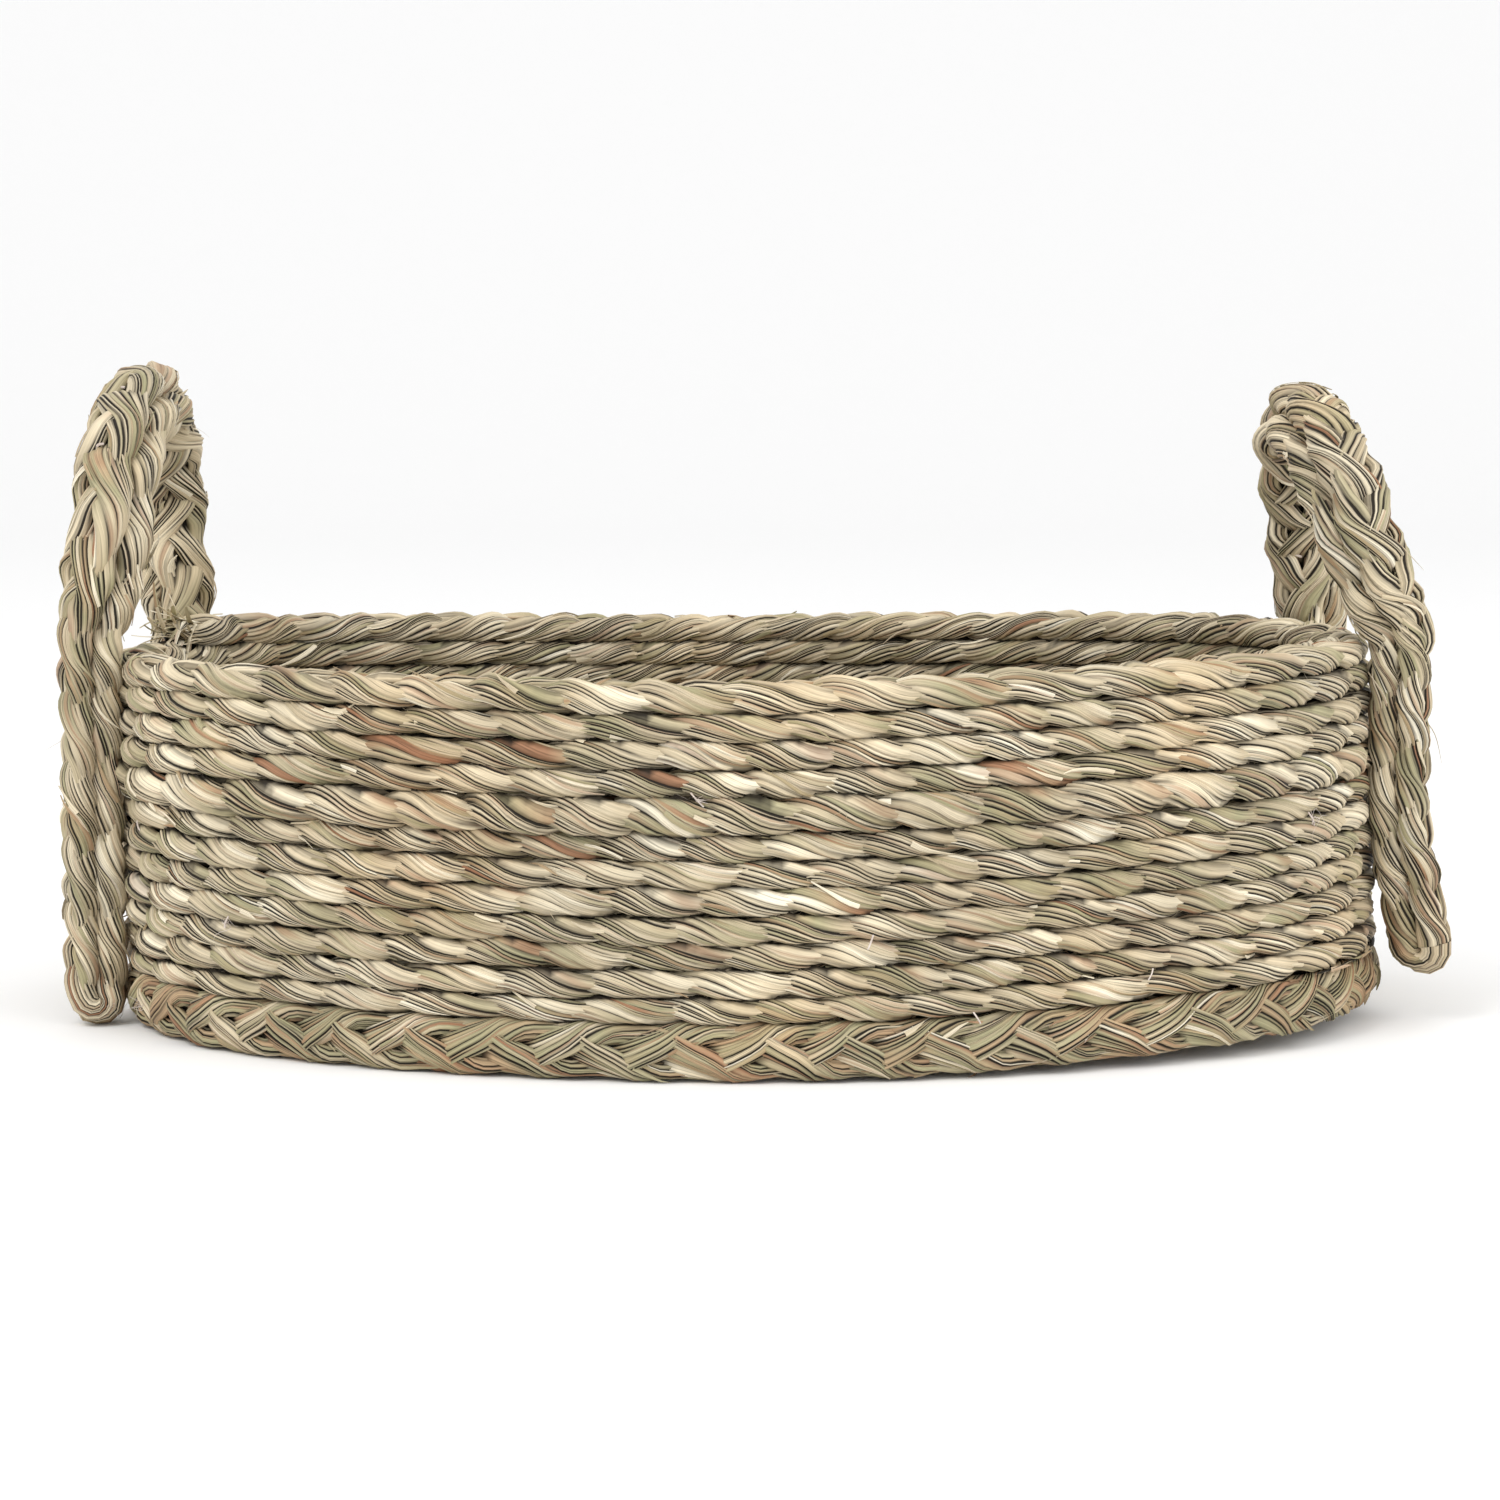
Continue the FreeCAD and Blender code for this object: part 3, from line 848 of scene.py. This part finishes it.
def grass_material(name, stops, brown_share):
    """Dried seagrass: blades of several tones with streaks along them, and near-black painted shade
    in the gaps between.
    """
    material, tree, shader = new_material(name)
    brown, gap_shade = (*RUST, 1.0), (*GAP_SHADE, 1.0)
    grain = attribute(tree, "grain", "Vector")
    place = add(tree, "ShaderNodeTexCoord").outputs["Object"]

    colour = ramp(tree, attribute(tree, "tone", "Fac"), stops)
    streak = noise(tree, grain, 1.0, 4.0, (42.0, 13.0, 3.0))
    levels = [(0.3, grey(0.34)), (0.42, grey(0.86)), (0.54, grey(1.04)), (0.72, grey(1.26))]
    colour = mixed(tree, 1.0, colour, ramp(tree, streak, levels), "MULTIPLY")
    patch = noise(tree, grain, 1.0, 2.0, (22.0, 0.9, 5.0))
    patch_share = ramp(tree, patch, [(0.56, grey(0.0)), (0.66, grey(brown_share))])
    colour = mixed(tree, patch_share, colour, brown)
    blush = ramp(tree, noise(tree, place, 14.0, 2.0), [(0.5, grey(0.0)), (0.7, grey(0.28))])
    colour = mixed(tree, blush, colour, brown, "SOFT_LIGHT")
    area = noise(tree, place, 26.0, 2.0)
    shade = ramp(tree, area, [(0.3, grey(0.86)), (0.7, grey(1.1))])
    colour = mixed(tree, 1.0, colour, shade, "MULTIPLY")
    # Painted shade: darkens the colour towards near black in the grooves between blades, deep
    # inside the plait and where turns meet.
    depth = ramp(tree, attribute(tree, "depth", "Fac"), [(0.05, grey(0.0)), (0.45, grey(0.98))])
    colour = mixed(tree, depth, colour, gap_shade)
    tree.links.new(colour, shader.inputs["Base Color"])

    rough = ramp(tree, streak, [(0.3, grey(0.72)), (0.7, grey(0.5))])
    tree.links.new(rough, shader.inputs["Roughness"])
    shader.inputs["Specular IOR Level"].default_value = 0.22
    fine = noise(tree, grain, 1.0, 5.0, (260.0, 14.0, 3.0))
    add_bump(tree, shader, fine, 0.5, 0.25 * MM)
    return material


def thread_material():
    """Spun cotton thread, off-white, with its plies as fine slanting ridges."""
    material, tree, shader = new_material("sewing_thread")
    grain = attribute(tree, "grain", "Vector")
    shade = noise(tree, grain, 1.0, 3.0, (500.0, 4.0, 1.0))
    colour = ramp(tree, shade, [(0.3, (0.50, 0.40, 0.34)), (0.6, (0.74, 0.66, 0.60))])
    tree.links.new(colour, shader.inputs["Base Color"])
    shader.inputs["Roughness"].default_value = 0.85
    add_bump(tree, shader, shade, 0.6, 0.15 * MM)
    return material


STRAW = (0.575, 0.48, 0.325)
CREAM = (0.79, 0.70, 0.52)
WHITE = (0.85, 0.78, 0.62)
OLIVE = (0.38, 0.35, 0.205)
TAN = (0.48, 0.35, 0.21)
RUST = (0.34, 0.18, 0.10)
# Painted shade colour, near black, laid into the grooves between blades and the seams between
# turns.
GAP_SHADE = (0.010, 0.007, 0.004)
BODY_STOPS = [(0.0, RUST), (0.13, TAN), (0.3, OLIVE), (0.5, STRAW), (0.8, CREAM), (1.0, WHITE)]
FOOT_STOPS = [(0.0, RUST), (0.4, TAN), (0.55, OLIVE), (0.74, STRAW), (0.95, CREAM), (1.0, WHITE)]
GRASS = {
    "body": grass_material("body_grass", BODY_STOPS, brown_share=0.55),
    "foot": grass_material("foot_grass", FOOT_STOPS, brown_share=0.75),
    "handle": grass_material("handle_grass", BODY_STOPS, brown_share=0.6),
}
THREAD = thread_material()


# ---------------------------------------------------------------- the pieces


def ride_basket(piece, slot, *nodes):
    """A piece fixed to the basket's body; it replaces the nodes, if any are named."""
    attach(piece, "basket")
    if nodes:
        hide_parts(*nodes)


def bend_handle(piece):
    """Bakes the piece's placement into its mesh."""
    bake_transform(piece)


def settled(grids):
    """The grids moved onto the hand-made basket."""
    for grid in grids:
        grid.point = settle(grid.point)
    return grids


PLAIT = (PLAIT_WIDTH, PLAIT_THICKNESS, BODY_PERIOD)
STRAP = (STRAP_WIDTH, STRAP_THICKNESS, STRAP_PERIOD)
# The body's plait gets painted shade where one turn lies against the next.
BODY_SHAPE = plait_shape(*PLAIT, blades=18, crease=0.5)
FOOT_SHAPE = plait_shape(*PLAIT, blades=20, tilt=60.0, strand_share=0.80)
BASE_SHAPE = plait_shape(*PLAIT, blades=10)
STRAP_SHAPE = plait_shape(*STRAP, blades=17, tilt=56.0, strand_share=0.74)


def cut_turn(path, strands, index):
    """One whole turn of a plait, with a row to spare so that the turns meet."""
    rows = np.nonzero((path.turn >= index) & (path.turn <= index + 1))[0]
    last = min(rows[-1] + 2, len(path.turn))
    return settled([rows_of(grid, rows[0], last) for grid in strands])


def cut_start(path, strands):
    """The part of a plait before its first turn."""
    last = int(np.count_nonzero(path.turn < 0)) + 1
    return settled([rows_of(grid, 0, last) for grid in strands])


def make_wall():
    """The turns of the wall, the start under them, loose blades, cut end and fibres."""
    path = wall_path()
    strands = [close_ends(grid) for grid in plait(100, path, BODY_SHAPE)]
    for index, course in enumerate(COURSES):
        cut = cut_turn(path, strands, index)
        piece = join_grids(f"wall_turn_{index + 1:02d}", cut, tube_quads, GRASS["body"])
        ride_basket(piece, "body_plait", course)
    cut = cut_start(path, strands)
    ride_basket(join_grids("wall_start", cut, tube_quads, GRASS["body"]), "body_plait")
    rng = np.random.default_rng(7)
    blades = loose_blades(rng, strands, count=1500)
    near_end = -4
    along = unit(path.point[-1] - path.point[near_end])
    across, up = path.across[near_end], path.up[near_end]
    blades += cut_end(rng, path.point[near_end], along, across, up, count=46)
    blades = settled(blades)
    piece = join_grids("wall_loose_blades", blades, strip_quads, GRASS["body"])
    ride_basket(piece, "body_plait")
    fibres = settled(stray_fibres(rng, strands, count=160))
    ride_basket(join_grids("wall_fibres", fibres, tube_quads, GRASS["body"]), "body_plait")
    return path


def make_foot():
    """The plait on its edge under the wall, with its loose blades and fibres."""
    path = foot_path()
    periods = round(path.distance[-1] / BODY_PERIOD)
    strands = plait(200, path, FOOT_SHAPE, periods)
    piece = join_grids("foot_plait_strands", settled(strands), tube_quads, GRASS["foot"])
    ride_basket(piece, "foot_plait", "foot_plait")
    rng = np.random.default_rng(8)
    blades = loose_blades(rng, strands, count=140)
    piece = join_grids("foot_loose_blades", blades, strip_quads, GRASS["foot"])
    ride_basket(piece, "foot_plait")
    fibres = stray_fibres(rng, strands, count=24)
    ride_basket(join_grids("foot_fibres", fibres, tube_quads, GRASS["foot"]), "foot_plait")


def make_base():
    """The flat coil of the base: its turns, its tapered start and its inmost stretch."""
    path = base_path()
    strands = [close_ends(grid) for grid in plait(300, path, BASE_SHAPE)]
    for index, node in enumerate(BASE_TURNS):
        cut = cut_turn(path, strands, index)
        piece = join_grids(f"base_coil_{index + 1:02d}", cut, tube_quads, GRASS["body"])
        ride_basket(piece, "body_plait", node)
    cut = cut_start(path, strands)
    ride_basket(join_grids("base_coil_taper", cut, tube_quads, GRASS["body"]), "body_plait")
    strands = [close_ends(grid) for grid in plait(320, base_start_path(), BASE_SHAPE)]
    piece = join_grids("base_coil_start", settled(strands), tube_quads, GRASS["body"])
    ride_basket(piece, "body_plait", "base_start")


def make_handle(end, seed):
    """One doubled plait as a single loop, with its loose blades and fibres."""
    path = handle_path(end)
    periods = round(path.distance[-1] / STRAP_PERIOD)
    strands = plait(seed, path, STRAP_SHAPE, periods)
    piece = join_grids(f"{end}_handle_plait", strands, tube_quads, GRASS["handle"])
    bend_handle(piece)
    names = ("front_leg", "back_leg", "arch_outer_plait", "arch_inner_plait")
    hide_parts(*[f"{end}_handle_{name}" for name in names])
    rng = np.random.default_rng(seed + 9)
    extras = {
        "loose_blades": (loose_blades(rng, strands, count=170, length=(4, 11)), strip_quads),
        "fibres": (stray_fibres(rng, strands, count=30), tube_quads),
    }
    for name, (grids, quads_of) in extras.items():
        piece = join_grids(f"{end}_handle_{name}", grids, quads_of, GRASS["handle"])
        bend_handle(piece)


def bar_across(rng, path, row, side, reach, rise):
    """A short stitch over the middle of a plait's face; side is 1 for the face up points out of."""
    slant = rng.uniform(-0.6, 0.6)
    along = unit(path.point[row + 1] - path.point[row])
    face = side * path.up[row]
    middle = path.point[row] + face * (STRAP_THICKNESS * 0.42)
    half = (path.across[row] + along * slant) * reach
    return stitch(rng, middle - half, middle + half, face, rise)


def make_wall_thread(path):
    """Bits of the upright stitching that show between the turns, and their cut ends."""
    rng = np.random.default_rng(21)
    grids = []
    for _ in range(34):
        row = int(rng.integers(60, len(path.distance) - 10))
        side = rng.choice([-1, 1])
        out = path.across[row] * side
        middle = path.point[row] + out * PLAIT_WIDTH * 0.47 - path.up[row] * PLAIT_THICKNESS / 2
        along = unit(path.point[row + 1] - path.point[row])
        half = path.up[row] * rng.uniform(1.2, 2.6) * MM + along * rng.uniform(-2, 2) * MM
        grids.append(stitch(rng, middle - half, middle + half, out, 0.5 * MM, 0.26 * MM))
        if rng.uniform() < 0.6:
            grids += tuft(rng, middle + out * 0.3 * MM, out, count=9, length=3.5 * MM)
    piece = join_grids("wall_thread", settled(grids), tube_quads, THREAD)
    ride_basket(piece, "sewing_thread", "wall_stitches")


def make_foot_thread():
    """Bars of thread around the foot and one knot near its left end."""
    rng = np.random.default_rng(22)
    path = foot_path()
    grids = []
    for share in np.linspace(0.05, 0.95, 7):
        row = int(share * (len(path.distance) - 3))
        grids.append(bar_across(rng, path, row, 1, reach=1.6 * MM, rise=0.8 * MM))
    knot = int(0.05 * len(path.distance))
    place = path.point[knot] + path.up[knot] * 4.5 * MM
    grids += tuft(rng, place, path.up[knot], count=16, length=6 * MM)
    piece = join_grids("foot_thread", settled(grids), tube_quads, THREAD)
    ride_basket(piece, "sewing_thread", "foot_stitches")


def make_base_thread():
    """Bars of thread on both faces of the base."""
    rng = np.random.default_rng(23)
    path = base_path()
    grids = []
    for row in range(8, len(path.distance) - 8, 14):
        side = rng.choice([-1, 1])
        grids.append(bar_across(rng, path, row, side, reach=2.4 * MM, rise=0.9 * MM))
    piece = join_grids("base_thread", settled(grids), tube_quads, THREAD)
    ride_basket(piece, "sewing_thread", "base_stitches")


def make_handle_thread(end, seed):
    """Bars over both faces of the doubled plait, at its legs and at its free arch."""
    rng = np.random.default_rng(seed)
    path = handle_path(end)
    on_legs, on_arch = [], []
    for row in range(6, len(path.distance) - 6, 7):
        height = path.point[row, 2]
        if abs(height - FLEX_HEIGHT) < 2 * FLEX_REACH or rng.uniform() < 0.8:
            continue
        reach = rng.uniform(1.2, 2.6) * MM
        grids = [bar_across(rng, path, row, 1, reach, rise=1.0 * MM)]
        edge = path.point[row] + path.across[row] * STRAP_WIDTH * 0.45
        if rng.uniform() < 0.3:
            grids += tuft(rng, edge, path.across[row], count=6, length=4 * MM)
        (on_legs if height < FLEX_HEIGHT else on_arch).extend(grids)
    piece = join_grids(f"{end}_handle_leg_thread", on_legs, tube_quads, THREAD)
    ride_basket(piece, "sewing_thread", f"{end}_handle_leg_stitches")
    piece = join_grids(f"{end}_handle_arch_thread", on_arch, tube_quads, THREAD)
    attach(piece, f"{end}_handle_arch")
    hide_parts(f"{end}_handle_arch_stitches")


wall = make_wall()
make_wall_thread(wall)
make_foot()
make_foot_thread()
make_base()
make_base_thread()
make_handle("left", seed=400)
make_handle_thread("left", seed=410)
make_handle("right", seed=500)
make_handle_thread("right", seed=510)


# ---------------------------------------------------------------- camera, floor and light


LENS = 85.8
CAMERA_PLACE = (0.0014, -1.133, 0.206)
CAMERA_DIP = math.radians(6.25)  # below the level
LIGHT_TARGET = (0.0, 0.0, 0.08)
FLOOR_GAP = 0.3 * MM  # the floor lies this far under the basket


def make_camera():
    data = bpy.data.cameras.new("camera")
    data.sensor_width = 36.0
    data.lens = LENS
    camera = bpy.data.objects.new("camera", data)
    camera.location = CAMERA_PLACE
    camera.rotation_euler = (math.pi / 2 - CAMERA_DIP, 0.0, 0.0)
    bpy.context.scene.collection.objects.link(camera)
    bpy.context.scene.camera = camera


def make_floor():
    """A pale sweep of paper: flat under the basket, then curving up behind it."""
    half, front, back, bend = 8.0, -6.0, 3.0, 2.5
    turn = np.linspace(0, np.pi / 2, 24)
    profile = [(front, 0.0)]
    profile += [(back + bend * math.sin(a), bend * (1 - math.cos(a))) for a in turn]
    profile.append((back + bend, 9.0))
    corners = [(x, y, z - FLOOR_GAP) for y, z in profile for x in (-half, half)]
    faces = [(2 * k, 2 * k + 1, 2 * k + 3, 2 * k + 2) for k in range(len(profile) - 1)]
    mesh = bpy.data.meshes.new("floor")
    mesh.from_pydata(corners, [], faces)
    mesh.polygons.foreach_set("use_smooth", [True] * len(faces))
    material, _, shader = new_material("floor_paper")
    shader.inputs["Base Color"].default_value = (0.93, 0.93, 0.93, 1.0)
    shader.inputs["Roughness"].default_value = 0.95
    shader.inputs["Specular IOR Level"].default_value = 0.1
    mesh.materials.append(material)
    floor = bpy.data.objects.new("floor", mesh)
    bpy.context.scene.collection.objects.link(floor)


def make_light(name, place, size, power):
    """A square soft light that faces the basket."""
    data = bpy.data.lights.new(name, "AREA")
    data.size = size
    data.energy = power
    light = bpy.data.objects.new(name, data)
    light.location = place
    direction = np.array(LIGHT_TARGET) - np.array(place)
    light.rotation_euler = (
        math.atan2(math.hypot(direction[0], direction[1]), -direction[2]),
        0.0,
        math.atan2(direction[1], direction[0]) - math.pi / 2,
    )
    bpy.context.scene.collection.objects.link(light)


def make_world():
    world = bpy.data.worlds.new("studio")
    bpy.context.scene.world = world
    world.use_nodes = True
    background = world.node_tree.nodes["Background"]
    background.inputs["Color"].default_value = (1.0, 1.0, 1.0, 1.0)
    background.inputs["Strength"].default_value = 1.02


make_camera()
make_floor()
make_world()
make_light("key", (-0.9, -1.2, 1.6), size=0.9, power=15.0)
make_light("fill", (1.3, -0.8, 0.9), size=1.2, power=10.0)
bpy.context.scene.view_settings.view_transform = "Standard"
